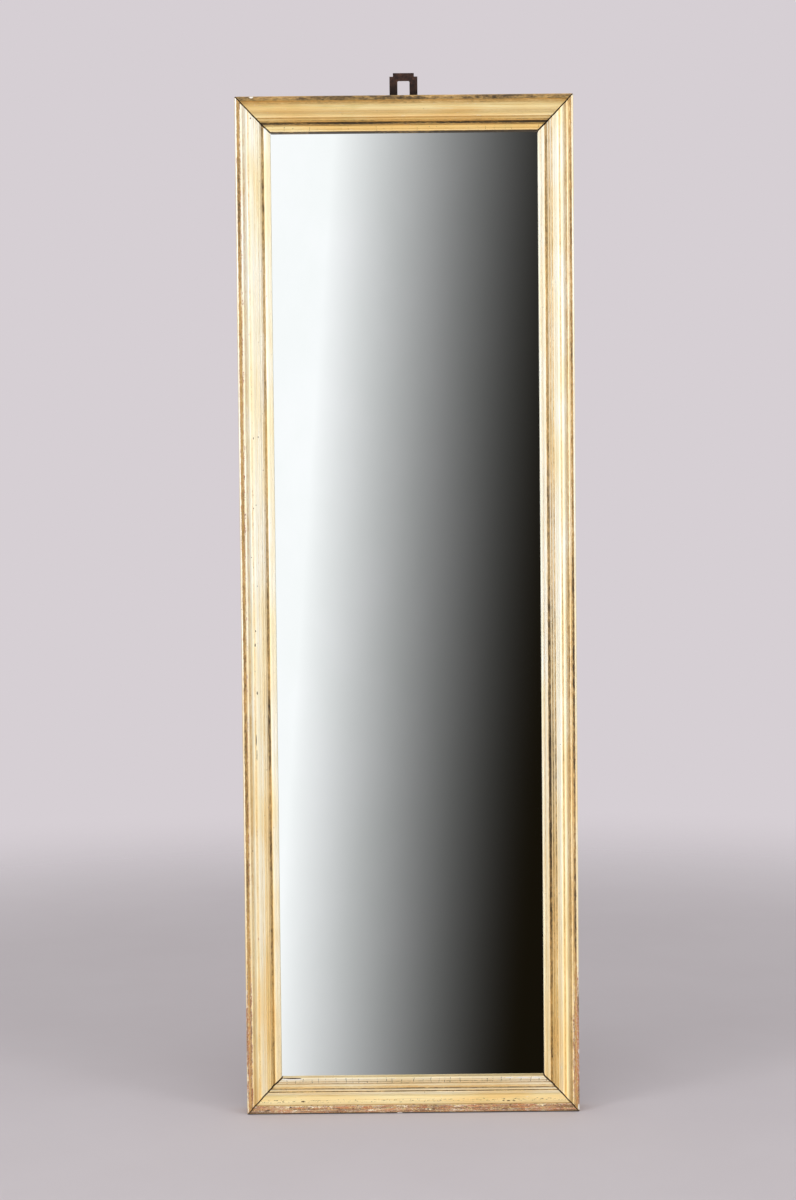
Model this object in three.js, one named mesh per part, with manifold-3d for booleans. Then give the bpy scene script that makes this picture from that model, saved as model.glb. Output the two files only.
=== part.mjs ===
// Pier mirror: one tall plate of silvered glass in a gilt, moulded and mitred pine frame,
// with a boarded back and a forged iron hanger plate let into the top rail.
//
// Millimetres, +Z up. The front faces -Y and the back faces +Y. The origin is the middle of
// the bottom rail's underside, halfway through the frame's depth.

import * as THREE from 'three';
import { mergeVertices } from 'three/addons/utils/BufferGeometryUtils.js';
import Module from 'manifold-3d';

const wasm = await Module();
wasm.setup();

// ---- Driving dimensions -------------------------------------------------------------------

const FRAME_HEIGHT = 1600;
const FRAME_WIDTH = 527;
const FRAME_DEPTH = 46; // back plane to the crown of the outer bead

const SEAT_GAP = 0.3; // between two pieces that touch
const CUTTER_OVERRUN = 2; // how far a cutter runs past the face it cuts

// The moulding, element by element from its outer edge to the sight edge.
const BEAD_WIDTH = 8;
const BEAD_QUIRK = 0.8;
const COVE_WIDTH = 5.5;
const COVE_FALL = 2;
const COVE_SAG = 1.1;
const FILLET_WIDTH = 1;
const FILLET_RISE = 0.8;
const OGEE_WIDTH = 13.5;
const OGEE_FALL = 7;
const OGEE_SWELL = 0.9; // how far each end's control point stands beyond that end, in depth
const OGEE_REACH = 0.47; // how far across, as a share, each control point lies from its end
const QUIRK_WIDTH = 1.2;
const QUIRK_DEPTH = 0.8;
const ASTRAGAL_WIDTH = 2.8;
const ASTRAGAL_RISE = 1;
const SMALL_COVE_STEP = 0.6;
const SMALL_COVE_WIDTH = 3.2;
const SMALL_COVE_FALL = 1.2;
const SMALL_COVE_SAG = 0.6;
const THIN_BEAD_WIDTH = 2.6;
const THIN_BEAD_RISE = 1.1;
const GROOVE_WALL_WIDTH = 0.8; // the groove's steep outer wall
const GROOVE_FLOOR_WIDTH = 3.6;
const GROOVE_RAMP_WIDTH = 1.4; // the groove's inner wall, where the slip starts
const GROOVE_DEPTH = 3.8;
const GROOVE_RAMP_RISE = 1.9;
const SLIP_WIDTH = 6.6;
const SLIP_RISE = 2.3;
const SLIP_CROWN = 0.3;
const LIP_QUIRK = 0.5;
const LIP_WIDTH = 3.8;
const LIP_CROWN = 1.2;

// Mitres: wood shrinks across its grain, so each joint has opened a little at its inner end.
const MITRE_GAP_OUTER = 0.5;
const MITRE_GAP_INNER = 1.6;

// A feather let into a saw kerf across each mitre's outer corner.
const KEY_LEG = 45;
const KEY_THICKNESS = 3;
const KEY_FROM_BACK = 24; // to the middle of the feather's thickness

const GLASS_THICKNESS = 3.5;
const GLASS_LAP = 9; // width of the rabbet that holds the plate
const GLASS_EDGE_CLEARANCE = 0.8; // at the plate's top and sides; it stands on its lower edge

const BLOCK_LENGTH = 45;
const BLOCK_DEPTH = 11.4;
const BLOCK_WIDTH = 7;
const BLOCK_SPACING = 400; // at most
const BLOCKS_AT_LEAST = 2; // along any edge of the plate
const BLOCK_BOARD_CLEARANCE = 0.5;

const BOARD_THICKNESS = 6;
const BOARD_MAX_WIDTH = 260;
const BOARD_LEDGE = 9; // width of the ledge that the boards are nailed to
const BOARD_INSET = 1.7; // from the frame's back plane down to the boards
const BOARD_END_CLEARANCE = 0.9;
const BOARD_JOINT_GAP = 0.6;
const BOARD_CHAMFER = 1.4;

const NAIL_LENGTH = 18; // under the head
const NAIL_HEAD_RADIUS = 3; // to a corner of the square head
const NAIL_HEAD_THICKNESS = 1;
const NAIL_SHANK_RADIUS = 1.5;
const NAIL_TIP_RADIUS = 0.7;
const NAIL_FROM_BOARD_EDGE = 35;

const HANGER_WIDTH = 44;
const HANGER_RISE = 42.5; // above the frame
const HANGER_TAIL = 33; // below the frame's top
const HANGER_THICKNESS = 3;
const HANGER_BAR = 12; // iron above the slot
const HANGER_NOTCH = 5.5; // square step at each upper corner
const HANGER_TAIL_CHAMFER = 4;
const SLOT_WIDTH = 19;
const SLOT_SINK = 3; // how far the slot runs on below the frame's top
const SLOT_CORNER_RADIUS = 2;

const SCREW_LENGTH = 20;
const SCREW_HEAD_RADIUS = 4.2;
const SCREW_SHANK_RADIUS = 1.9;
const SCREW_POINT_LENGTH = 5;
const SCREW_RIM = 0.4; // height of the head's straight rim
const SCREW_SLOT_WIDTH = 0.9;
const SCREW_SLOT_DEPTH = 1;
const SCREW_SPREAD = 14; // from the plate's middle line
const SCREW_ROWS = [10, 25]; // below the frame's top

const CURVE_STEPS = 8; // for each curve of the moulding
const SLOT_CURVE_STEPS = 5;
const SCREW_SIDES = 20;

// ---- Derived places -----------------------------------------------------------------------
// Depths count from the frame's back plane towards the front. Widths count from a member's
// outer edge towards the glass.

const grooveWidth = GROOVE_WALL_WIDTH + GROOVE_FLOOR_WIDTH + GROOVE_RAMP_WIDTH;
const mouldingWidth = BEAD_WIDTH + COVE_WIDTH + FILLET_WIDTH + OGEE_WIDTH + QUIRK_WIDTH
  + ASTRAGAL_WIDTH + SMALL_COVE_WIDTH + THIN_BEAD_WIDTH + grooveWidth + SLIP_WIDTH + LIP_WIDTH;
const glassWall = mouldingWidth - GLASS_LAP;
const boardWall = glassWall - BOARD_LEDGE;

const boardFront = BOARD_INSET + BOARD_THICKNESS;
const boardLedgeDepth = boardFront + SEAT_GAP;
const blockBack = boardFront + BLOCK_BOARD_CLEARANCE;
const blockFront = blockBack + BLOCK_DEPTH;
const glassBack = blockFront + SEAT_GAP;
const glassFront = glassBack + GLASS_THICKNESS;
const glassLedgeDepth = glassFront + SEAT_GAP;

const backY = FRAME_DEPTH / 2;
const nailWidth = (boardWall + glassWall) / 2; // from the outer edge to the nails' line

// ---- Solids -------------------------------------------------------------------------------

function solidOf(geometry) {
  const bare = geometry.clone();
  bare.deleteAttribute('normal');
  bare.deleteAttribute('uv');
  const welded = mergeVertices(bare);
  const corners = [];
  for (let i = 0; i < welded.index.count; i += 3) {
    const [a, b, c] = [0, 1, 2].map((k) => welded.index.getX(i + k));
    if (a !== b && b !== c && c !== a) corners.push(a, b, c);
  }
  return new wasm.Manifold(new wasm.Mesh({
    numProp: 3,
    vertProperties: new Float32Array(welded.attributes.position.array),
    triVerts: new Uint32Array(corners),
  }));
}

function geometryOf(solid) {
  const mesh = solid.getMesh();
  const geometry = new THREE.BufferGeometry();
  geometry.setAttribute('position', new THREE.BufferAttribute(mesh.vertProperties, 3));
  geometry.setIndex(new THREE.BufferAttribute(mesh.triVerts, 1));
  geometry.computeVertexNormals();
  return geometry;
}

function cut(geometry, cutters) {
  let solid = solidOf(geometry);
  for (const cutter of cutters) solid = solid.subtract(solidOf(cutter));
  return geometryOf(solid);
}

function polygon(points) {
  return new THREE.Shape(points.map(([x, y]) => new THREE.Vector2(x, y)));
}

// A section drawn as (width, depth) becomes a bar along X, with width along +Z and depth
// running from the back plane towards -Y.
function barAlongX(section, length, curveSegments = CURVE_STEPS) {
  const bar = new THREE.ExtrudeGeometry(section, {
    depth: length, bevelEnabled: false, curveSegments,
  });
  const axes = new THREE.Matrix4().makeBasis(
    new THREE.Vector3(0, 0, 1), new THREE.Vector3(0, -1, 0), new THREE.Vector3(1, 0, 0),
  );
  return bar.applyMatrix4(axes).translate(-length / 2, backY, 0);
}

// An outline drawn as (x, z) becomes a plate that lies between two depths.
function plateBetween(outline, backDepth, frontDepth, curveSegments = CURVE_STEPS) {
  const plate = new THREE.ExtrudeGeometry(outline, {
    depth: frontDepth - backDepth, bevelEnabled: false, curveSegments,
  });
  return plate.rotateX(Math.PI / 2).translate(0, backY - backDepth, 0);
}

// A turned or square-sided pin along the depth: profile points are (radius, depth).
function pinAt(profile, sides, x, z, turn = 0) {
  const points = profile.map(([radius, depth]) => new THREE.Vector2(radius, -depth));
  const pin = new THREE.LatheGeometry(points.reverse(), sides, turn);
  return pin.translate(x, backY, z);
}

// ---- The moulding -------------------------------------------------------------------------

function mouldingSection() {
  const section = new THREE.Shape();
  const at = { width: 0, depth: FRAME_DEPTH - BEAD_WIDTH / 2 };

  const line = (across, rise) => {
    at.width += across;
    at.depth += rise;
    section.lineTo(at.width, at.depth);
  };
  // A shallow arch that stands `crown` proud of its chord, or sags where crown is negative.
  const arch = (across, rise, crown) => {
    const middle = at.width + across / 2;
    const handle = at.depth + rise / 2 + 2 * crown;
    at.width += across;
    at.depth += rise;
    section.quadraticCurveTo(middle, handle, at.width, at.depth);
  };
  const ogee = (across, fall, swell) => {
    const [w, d] = [at.width, at.depth];
    at.width += across;
    at.depth -= fall;
    const reach = across * OGEE_REACH;
    section.bezierCurveTo(
      w + reach, d + swell, at.width - reach, at.depth - swell, at.width, at.depth,
    );
  };

  section.moveTo(0, 0);
  section.lineTo(at.width, at.depth);
  section.absarc(BEAD_WIDTH / 2, at.depth, BEAD_WIDTH / 2, Math.PI, 0, true);
  at.width = BEAD_WIDTH;
  line(0, -BEAD_QUIRK);
  arch(COVE_WIDTH, -COVE_FALL, -COVE_SAG);
  line(0, FILLET_RISE);
  line(FILLET_WIDTH, 0);
  ogee(OGEE_WIDTH, OGEE_FALL, OGEE_SWELL);
  line(QUIRK_WIDTH / 2, -QUIRK_DEPTH);
  line(QUIRK_WIDTH / 2, QUIRK_DEPTH);
  arch(ASTRAGAL_WIDTH, 0, ASTRAGAL_RISE);
  line(0, -SMALL_COVE_STEP);
  arch(SMALL_COVE_WIDTH, -SMALL_COVE_FALL, -SMALL_COVE_SAG);
  arch(THIN_BEAD_WIDTH, 0, THIN_BEAD_RISE);
  line(GROOVE_WALL_WIDTH, -GROOVE_DEPTH);
  line(GROOVE_FLOOR_WIDTH, 0);
  line(GROOVE_RAMP_WIDTH, GROOVE_RAMP_RISE);
  arch(SLIP_WIDTH, SLIP_RISE, SLIP_CROWN);
  line(0, -LIP_QUIRK);
  arch(LIP_WIDTH, 0, LIP_CROWN);
  section.lineTo(mouldingWidth, glassLedgeDepth);
  section.lineTo(glassWall, glassLedgeDepth);
  section.lineTo(glassWall, boardLedgeDepth);
  section.lineTo(boardWall, boardLedgeDepth);
  section.lineTo(boardWall, 0);
  return section;
}

// The plan of a member seen from the front: its two ends are the mitres.
function mitrePlan(length) {
  const halfGap = (gap) => gap / 2 * Math.SQRT2; // measured along the member
  const outer = length / 2 - halfGap(MITRE_GAP_OUTER);
  const inner = length / 2 - mouldingWidth - halfGap(MITRE_GAP_INNER);
  const slope = (outer - inner) / mouldingWidth;
  const low = outer + slope * CUTTER_OVERRUN;
  const high = inner - slope * CUTTER_OVERRUN;
  const top = mouldingWidth + CUTTER_OVERRUN;
  return polygon([[-low, -CUTTER_OVERRUN], [low, -CUTTER_OVERRUN], [high, top], [-high, top]]);
}

// Both halves of a feather's kerf, at the two ends of a member.
function kerfs(length) {
  const leg = KEY_LEG + SEAT_GAP * (1 + Math.SQRT2);
  const back = KEY_FROM_BACK - KEY_THICKNESS / 2 - SEAT_GAP;
  const front = KEY_FROM_BACK + KEY_THICKNESS / 2 + SEAT_GAP;
  return [-1, 1].map((end) => {
    const corner = end * (length / 2 + CUTTER_OVERRUN);
    const foot = corner - end * (leg + 2 * CUTTER_OVERRUN);
    const tip = -CUTTER_OVERRUN + leg + 2 * CUTTER_OVERRUN;
    return plateBetween(
      polygon([[corner, -CUTTER_OVERRUN], [foot, -CUTTER_OVERRUN], [corner, tip]]), back, front,
    );
  });
}

function memberGeometry(length, cutters) {
  const bar = solidOf(barAlongX(mouldingSection(), length));
  const plan = plateBetween(mitrePlan(length), -CUTTER_OVERRUN, FRAME_DEPTH + CUTTER_OVERRUN);
  const mitred = geometryOf(bar.intersect(solidOf(plan)));
  return cut(mitred, [...kerfs(length), ...cutters]);
}

// ---- Small pieces and the holes they sit in -----------------------------------------------

const nailHeadBack = BOARD_INSET - SEAT_GAP - NAIL_HEAD_THICKNESS;
const nailHeadFront = BOARD_INSET - SEAT_GAP;
const nailTip = nailHeadFront + NAIL_LENGTH;

function nailGeometry(x, z) {
  return geometryOf(solidOf(pinAt([
    [0, nailHeadBack],
    [NAIL_HEAD_RADIUS, nailHeadBack],
    [NAIL_HEAD_RADIUS, nailHeadFront],
    [NAIL_SHANK_RADIUS, nailHeadFront],
    [NAIL_TIP_RADIUS, nailTip],
    [0, nailTip],
  ], 4, x, z, Math.PI / 4)));
}

function nailHole(x, z) {
  const gap = SEAT_GAP * Math.SQRT2; // a square hole's corner stands this far out
  return pinAt([
    [0, -CUTTER_OVERRUN],
    [NAIL_SHANK_RADIUS + gap, -CUTTER_OVERRUN],
    [NAIL_SHANK_RADIUS + gap, nailHeadFront],
    [NAIL_TIP_RADIUS + gap, nailTip + SEAT_GAP],
    [0, nailTip + SEAT_GAP],
  ], 4, x, z, Math.PI / 4);
}

function screwProfile(gap) {
  const cone = SCREW_HEAD_RADIUS - SCREW_SHANK_RADIUS;
  const head = gap > 0 ? -CUTTER_OVERRUN : SEAT_GAP;
  return [
    [0, head],
    [SCREW_HEAD_RADIUS + gap, head],
    [SCREW_HEAD_RADIUS + gap, SEAT_GAP + SCREW_RIM],
    [SCREW_SHANK_RADIUS + gap, SEAT_GAP + SCREW_RIM + cone],
    [SCREW_SHANK_RADIUS + gap, SCREW_LENGTH - SCREW_POINT_LENGTH],
    [0, SCREW_LENGTH + gap],
  ];
}

function screwGeometry(slotTurn) {
  const screw = pinAt(screwProfile(0), SCREW_SIDES, 0, 0);
  const slot = new THREE.BoxGeometry(
    2 * SCREW_HEAD_RADIUS + CUTTER_OVERRUN, 2 * SCREW_SLOT_DEPTH, SCREW_SLOT_WIDTH,
  );
  slot.rotateY(slotTurn).translate(0, backY - SEAT_GAP, 0);
  return cut(screw, [slot]);
}

function hangerOutline(gap) {
  const half = HANGER_WIDTH / 2 + gap;
  const top = HANGER_RISE + gap;
  const low = -HANGER_TAIL - gap;
  const notch = HANGER_NOTCH;
  const chamfer = HANGER_TAIL_CHAMFER;
  return polygon([
    [-half, low + chamfer], [-half + chamfer, low], [half - chamfer, low], [half, low + chamfer],
    [half, top - notch], [half - notch, top - notch], [half - notch, top],
    [-half + notch, top], [-half + notch, top - notch], [-half, top - notch],
  ]);
}

function slotOutline() {
  const half = SLOT_WIDTH / 2;
  const top = HANGER_RISE - HANGER_BAR;
  const r = SLOT_CORNER_RADIUS;
  const slot = new THREE.Path();
  slot.moveTo(-half, -SLOT_SINK);
  slot.lineTo(half, -SLOT_SINK);
  slot.lineTo(half, top - r);
  slot.absarc(half - r, top - r, r, 0, Math.PI / 2, false);
  slot.lineTo(-half + r, top);
  slot.absarc(-half + r, top - r, r, Math.PI / 2, Math.PI, false);
  return slot;
}

// Screw places as (x, z) from the middle of the frame's top edge.
const screwPlaces = SCREW_ROWS.flatMap((row) => [[-SCREW_SPREAD, -row], [SCREW_SPREAD, -row]]);

function hangerGeometry() {
  const outline = hangerOutline(0);
  outline.holes.push(slotOutline());
  const plate = plateBetween(outline, 0, HANGER_THICKNESS, SLOT_CURVE_STEPS);
  return cut(plate, screwPlaces.map(([x, z]) => pinAt(screwProfile(SEAT_GAP), SCREW_SIDES, x, z)));
}

// The top rail's bed for the hanger, in the rail's own frame, where +Z points down the mirror.
function hangerBed() {
  const outline = hangerOutline(SEAT_GAP);
  const bed = plateBetween(outline, -CUTTER_OVERRUN, HANGER_THICKNESS + SEAT_GAP);
  const holes = screwPlaces.map(([x, z]) => pinAt(screwProfile(SEAT_GAP), SCREW_SIDES, x, z));
  return [bed, ...holes].map((cutter) => cutter.rotateY(Math.PI));
}

function keyGeometry() {
  // The feather's right angle is the frame's corner; it stops just inside the two outer edges.
  const leg = KEY_LEG;
  const outline = polygon([[SEAT_GAP, SEAT_GAP], [leg, SEAT_GAP], [SEAT_GAP, leg]]);
  return geometryOf(solidOf(plateBetween(
    outline, KEY_FROM_BACK - KEY_THICKNESS / 2, KEY_FROM_BACK + KEY_THICKNESS / 2,
  )));
}

function blockGeometry() {
  const wall = glassWall + SEAT_GAP;
  const triangle = polygon([
    [wall, blockFront], [wall, blockBack], [wall + BLOCK_WIDTH, blockFront],
  ]);
  return geometryOf(solidOf(barAlongX(triangle, BLOCK_LENGTH)));
}

function boardGeometry(length, width, holes) {
  const edge = BOARD_CHAMFER;
  const section = polygon([
    [0, boardFront], [0, BOARD_INSET + edge], [edge, BOARD_INSET],
    [width - edge, BOARD_INSET], [width, BOARD_INSET + edge], [width, boardFront],
  ]);
  return cut(barAlongX(section, length), holes);
}

// ---- Materials ----------------------------------------------------------------------------

function gilding() {
  return new THREE.MeshStandardMaterial({ color: 0xd8b470, roughness: 0.38, metalness: 0.75 });
}

function oldPine() {
  return new THREE.MeshStandardMaterial({ color: 0xa37c4e, roughness: 0.8, metalness: 0 });
}

function birch() {
  return new THREE.MeshStandardMaterial({ color: 0xb99868, roughness: 0.7, metalness: 0 });
}

function silvering() {
  return new THREE.MeshStandardMaterial({ color: 0xe9eceb, roughness: 0.03, metalness: 1 });
}

function rustyIron() {
  return new THREE.MeshStandardMaterial({ color: 0x43302a, roughness: 0.75, metalness: 0.6 });
}

// ---- Assembly -----------------------------------------------------------------------------

const mirror = new THREE.Group();

function addMesh(parent, name, geometry, material) {
  const mesh = new THREE.Mesh(geometry, material);
  mesh.name = name;
  parent.add(mesh);
  return mesh;
}

// The boards fill the height between the rails' board rabbets, in equal widths.
const boardRun = FRAME_HEIGHT - 2 * boardWall - 2 * BOARD_END_CLEARANCE;
const boardCount = Math.ceil(boardRun / BOARD_MAX_WIDTH);
const boardWidth = (boardRun - (boardCount - 1) * BOARD_JOINT_GAP) / boardCount;
const boardLength = FRAME_WIDTH - 2 * boardWall - 2 * BOARD_END_CLEARANCE;
const boardBottoms = Array.from({ length: boardCount }, (_, i) => (
  boardWall + BOARD_END_CLEARANCE + i * (boardWidth + BOARD_JOINT_GAP)
));
const nailHeights = boardBottoms.flatMap((bottom) => [
  bottom + NAIL_FROM_BOARD_EDGE, bottom + boardWidth - NAIL_FROM_BOARD_EDGE,
]);

// Each side has its own frame: X along the member, Z from the outer edge towards the glass.
// `up` says which way its X runs where the member stands upright.
const SIDES = [
  { label: 'bottom', name: 'bottom_rail', length: FRAME_WIDTH, turn: 0, at: [0, 0, 0] },
  { label: 'top', name: 'top_rail', length: FRAME_WIDTH, turn: Math.PI, at: [0, 0, FRAME_HEIGHT] },
  {
    label: 'left', name: 'left_stile', length: FRAME_HEIGHT, turn: Math.PI / 2, up: -1,
    at: [-FRAME_WIDTH / 2, 0, FRAME_HEIGHT / 2],
  },
  {
    label: 'right', name: 'right_stile', length: FRAME_HEIGHT, turn: -Math.PI / 2, up: 1,
    at: [FRAME_WIDTH / 2, 0, FRAME_HEIGHT / 2],
  },
];

for (const { label, name, length, turn, up, at } of SIDES) {
  const side = new THREE.Group();
  side.position.set(...at);
  side.rotation.y = turn;
  mirror.add(side);

  const nailPlaces = up ? nailHeights.map((height) => up * (height - FRAME_HEIGHT / 2)) : [];
  const cutters = nailPlaces.map((x) => nailHole(x, nailWidth));
  if (label === 'top') cutters.push(...hangerBed());
  addMesh(side, name, memberGeometry(length, cutters), gilding());

  nailPlaces.forEach((x, i) => {
    addMesh(side, `board_nail_${label}_${i + 1}`, nailGeometry(x, nailWidth), rustyIron());
  });

  const run = length - 2 * glassWall;
  const blockCount = Math.max(BLOCKS_AT_LEAST, Math.ceil(run / BLOCK_SPACING));
  for (let i = 0; i < blockCount; i += 1) {
    const block = addMesh(side, `glass_block_${label}_${i + 1}`, blockGeometry(), oldPine());
    block.position.x = ((i + 0.5) / blockCount - 0.5) * run;
  }
}

const CORNERS = [
  { label: 'bottom_left', turn: 0, x: -1, z: 0 },
  { label: 'top_left', turn: Math.PI / 2, x: -1, z: 1 },
  { label: 'top_right', turn: Math.PI, x: 1, z: 1 },
  { label: 'bottom_right', turn: -Math.PI / 2, x: 1, z: 0 },
];

for (const { label, turn, x, z } of CORNERS) {
  const key = addMesh(mirror, `mitre_key_${label}`, keyGeometry(), birch());
  key.position.set(x * FRAME_WIDTH / 2, 0, z * FRAME_HEIGHT);
  key.rotation.y = turn;
}

const glassWidth = FRAME_WIDTH - 2 * (glassWall + GLASS_EDGE_CLEARANCE);
const glassBottom = glassWall + SEAT_GAP;
const glassTop = FRAME_HEIGHT - glassWall - GLASS_EDGE_CLEARANCE;
const glass = addMesh(
  mirror, 'mirror_glass',
  new THREE.BoxGeometry(glassWidth, GLASS_THICKNESS, glassTop - glassBottom), silvering(),
);
glass.position.set(0, backY - (glassBack + glassFront) / 2, (glassTop + glassBottom) / 2);

boardBottoms.forEach((bottom, i) => {
  const nailX = FRAME_WIDTH / 2 - nailWidth;
  const rows = [NAIL_FROM_BOARD_EDGE, boardWidth - NAIL_FROM_BOARD_EDGE];
  const holes = rows.flatMap((z) => [nailHole(-nailX, z), nailHole(nailX, z)]);
  const board = addMesh(
    mirror, `backboard_${i + 1}`, boardGeometry(boardLength, boardWidth, holes), oldPine(),
  );
  board.position.z = bottom;
});

const hanger = addMesh(mirror, 'hanger_plate', hangerGeometry(), rustyIron());
hanger.position.z = FRAME_HEIGHT;

screwPlaces.forEach(([x, z], i) => {
  const slotTurn = Math.PI / 7 * (1 + 2 * i); // no two slots stop at the same angle
  const screw = addMesh(mirror, `hanger_screw_${i + 1}`, screwGeometry(slotTurn), rustyIron());
  screw.position.set(x, 0, FRAME_HEIGHT + z);
});

export default mirror;
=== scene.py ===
"""Pier mirror: the looks of a tall gilt mirror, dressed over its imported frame.

Everything is in metres, in the frame's own axes: +Z up, the glass faces -Y and the boarded
back faces +Y. The origin is the middle of the bottom rail's underside.
"""
import math
from contextlib import contextmanager

import bmesh
import bpy
import numpy as np
from mathutils import Matrix, Vector, noise

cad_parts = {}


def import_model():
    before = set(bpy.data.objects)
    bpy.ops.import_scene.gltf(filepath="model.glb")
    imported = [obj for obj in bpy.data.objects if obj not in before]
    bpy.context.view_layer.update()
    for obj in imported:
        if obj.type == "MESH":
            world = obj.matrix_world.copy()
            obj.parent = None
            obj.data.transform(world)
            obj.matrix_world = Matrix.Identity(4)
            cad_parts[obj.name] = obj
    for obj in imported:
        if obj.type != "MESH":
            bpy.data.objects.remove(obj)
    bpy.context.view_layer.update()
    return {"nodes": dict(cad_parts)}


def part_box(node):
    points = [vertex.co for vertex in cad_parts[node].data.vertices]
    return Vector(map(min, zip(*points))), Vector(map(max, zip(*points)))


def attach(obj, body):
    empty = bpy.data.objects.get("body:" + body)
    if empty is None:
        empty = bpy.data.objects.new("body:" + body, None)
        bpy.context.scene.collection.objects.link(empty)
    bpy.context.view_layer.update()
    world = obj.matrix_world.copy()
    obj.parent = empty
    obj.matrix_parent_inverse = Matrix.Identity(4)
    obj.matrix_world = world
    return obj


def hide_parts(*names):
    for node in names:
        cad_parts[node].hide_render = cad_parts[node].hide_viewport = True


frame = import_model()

MM = 0.001

# ---- Sizes from the frame

BODY = "root"
STILE_LOW, STILE_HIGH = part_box("left_stile")
RAIL_LOW, RAIL_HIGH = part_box("top_rail")
GLASS_LOW, GLASS_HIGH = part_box("mirror_glass")

FRAME_WIDTH = 2 * max(abs(STILE_LOW.x), abs(STILE_HIGH.x))
FRAME_HEIGHT = RAIL_HIGH.z
MOULDING_WIDTH = RAIL_HIGH.z - RAIL_LOW.z
BACK = STILE_HIGH.y
FRAME_DEPTH = STILE_HIGH.y - STILE_LOW.y

# ---- The moulding's section, in millimetres
# Elements from the outer edge to the sight edge, as in the solids.

BEAD_WIDTH = 8
BEAD_QUIRK = 0.8
COVE = {"across": 5.5, "rise": -2, "crown": -1.1}
FILLET_RISE = 0.8
FILLET_WIDTH = 1
OGEE_WIDTH = 13.5
OGEE_FALL = 7
OGEE_SWELL = 0.9
OGEE_REACH = 0.47
QUIRK_WIDTH = 1.2
QUIRK_DEPTH = 0.8
ASTRAGAL = {"across": 2.8, "rise": 0, "crown": 1}
SMALL_COVE_STEP = 0.6
SMALL_COVE = {"across": 3.2, "rise": -1.2, "crown": -0.6}
THIN_BEAD = {"across": 2.6, "rise": 0, "crown": 1.1}
GROOVE_WALL_WIDTH = 0.8
GROOVE_FLOOR_WIDTH = 3.6
GROOVE_RAMP_WIDTH = 1.4
GROOVE_DEPTH = 3.8
GROOVE_RAMP_RISE = 1.9
SLIP = {"across": 6.6, "rise": 2.3, "crown": 0.3}
LIP_QUIRK = 0.5
LIP = {"across": 3.8, "rise": 0, "crown": 1.2}

GLASS_LAP = 9  # how wide the glass's rabbet is, from the sight edge
BOARD_LEDGE = 9  # how much wider the boards' rabbet is
SEAT_GAP = 0.3  # between two pieces that touch
GLASS_LEDGE_DEPTH = (BACK - GLASS_LOW.y) / MM + SEAT_GAP  # both from the back
BOARD_LEDGE_DEPTH = 8

CURVE_STEPS = 24  # legs of each curve, before its points are laid evenly
SECTION_STEP = 0.45  # between points of the front's outline
FINE_STEP = SECTION_STEP / 4  # between them while gesso rounds the arrises
GESSO_SOFTNESS = 0.28  # how far it rounds them
SIDE_STEP = 6  # between points up the outer side
LIP_STEP = 3  # and down the sight edge
STATION_STEP = 8  # between sections along a member

SCREW_GAP = 0.22  # around a screw
WELD = 0.01  # corners nearer than this are one
MITRE_GAP_OUTER = 0.8  # how far a mitre stands open at its corner, 0.5 in the solids
MITRE_GAP_INNER = 1.8  # and at the glass, 1.6 in the solids


# ---- Outline helpers

def front_outline():
    """Points (across, depth) from the foot of the outer bead to the sight edge, densely laid."""
    points = []
    across, depth = 0.0, FRAME_DEPTH / MM - BEAD_WIDTH / 2

    def line(run, rise):
        nonlocal across, depth
        across, depth = across + run, depth + rise
        points.append((across, depth))

    def curve(formula, run, rise):
        nonlocal across, depth
        for t in np.linspace(0, 1, CURVE_STEPS + 1)[1:]:
            points.append(formula(t))
        across, depth = across + run, depth + rise

    def arch(element):
        start, foot = across, depth
        run, rise, crown = element["across"], element["rise"], element["crown"]
        curve(lambda t: (start + run * t, foot + rise * t + 4 * crown * t * (1 - t)), run, rise)

    points.append((across, depth))
    radius = BEAD_WIDTH / 2
    curve(
        lambda t: (
            radius - radius * math.cos(math.pi * t),
            FRAME_DEPTH / MM - radius + radius * math.sin(math.pi * t),
        ),
        BEAD_WIDTH, 0,
    )
    line(0, -BEAD_QUIRK)
    arch(COVE)
    line(0, FILLET_RISE)
    line(FILLET_WIDTH, 0)

    start, crest = across, depth
    handles = (
        (start, crest),
        (start + OGEE_WIDTH * OGEE_REACH, crest + OGEE_SWELL),
        (start + OGEE_WIDTH * (1 - OGEE_REACH), crest - OGEE_FALL - OGEE_SWELL),
        (start + OGEE_WIDTH, crest - OGEE_FALL),
    )
    curve(lambda t: bezier(handles, t), OGEE_WIDTH, -OGEE_FALL)
    line(QUIRK_WIDTH / 2, -QUIRK_DEPTH)
    line(QUIRK_WIDTH / 2, QUIRK_DEPTH)
    arch(ASTRAGAL)
    line(0, -SMALL_COVE_STEP)
    arch(SMALL_COVE)
    arch(THIN_BEAD)
    line(GROOVE_WALL_WIDTH, -GROOVE_DEPTH)
    line(GROOVE_FLOOR_WIDTH, 0)
    line(GROOVE_RAMP_WIDTH, GROOVE_RAMP_RISE)
    arch(SLIP)
    line(0, -LIP_QUIRK)
    arch(LIP)
    return np.array(points)


def bezier(handles, t):
    """The point at t, from 0 to 1, on a cubic curve with those four handles."""
    a, b, c, d = (np.array(h) for h in handles)
    return tuple(
        a * (1 - t) ** 3 + 3 * b * t * (1 - t) ** 2 + 3 * c * t * t * (1 - t) + d * t ** 3
    )


def even_points(points, step):
    """The same line with its points laid evenly, its ends kept."""
    legs = np.linalg.norm(np.diff(points, axis=0), axis=1)
    run = np.concatenate([[0], np.cumsum(legs)])
    marks = np.linspace(0, run[-1], max(2, round(run[-1] / step) + 1))
    return np.stack([np.interp(marks, run, points[:, k]) for k in (0, 1)], 1)


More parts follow.
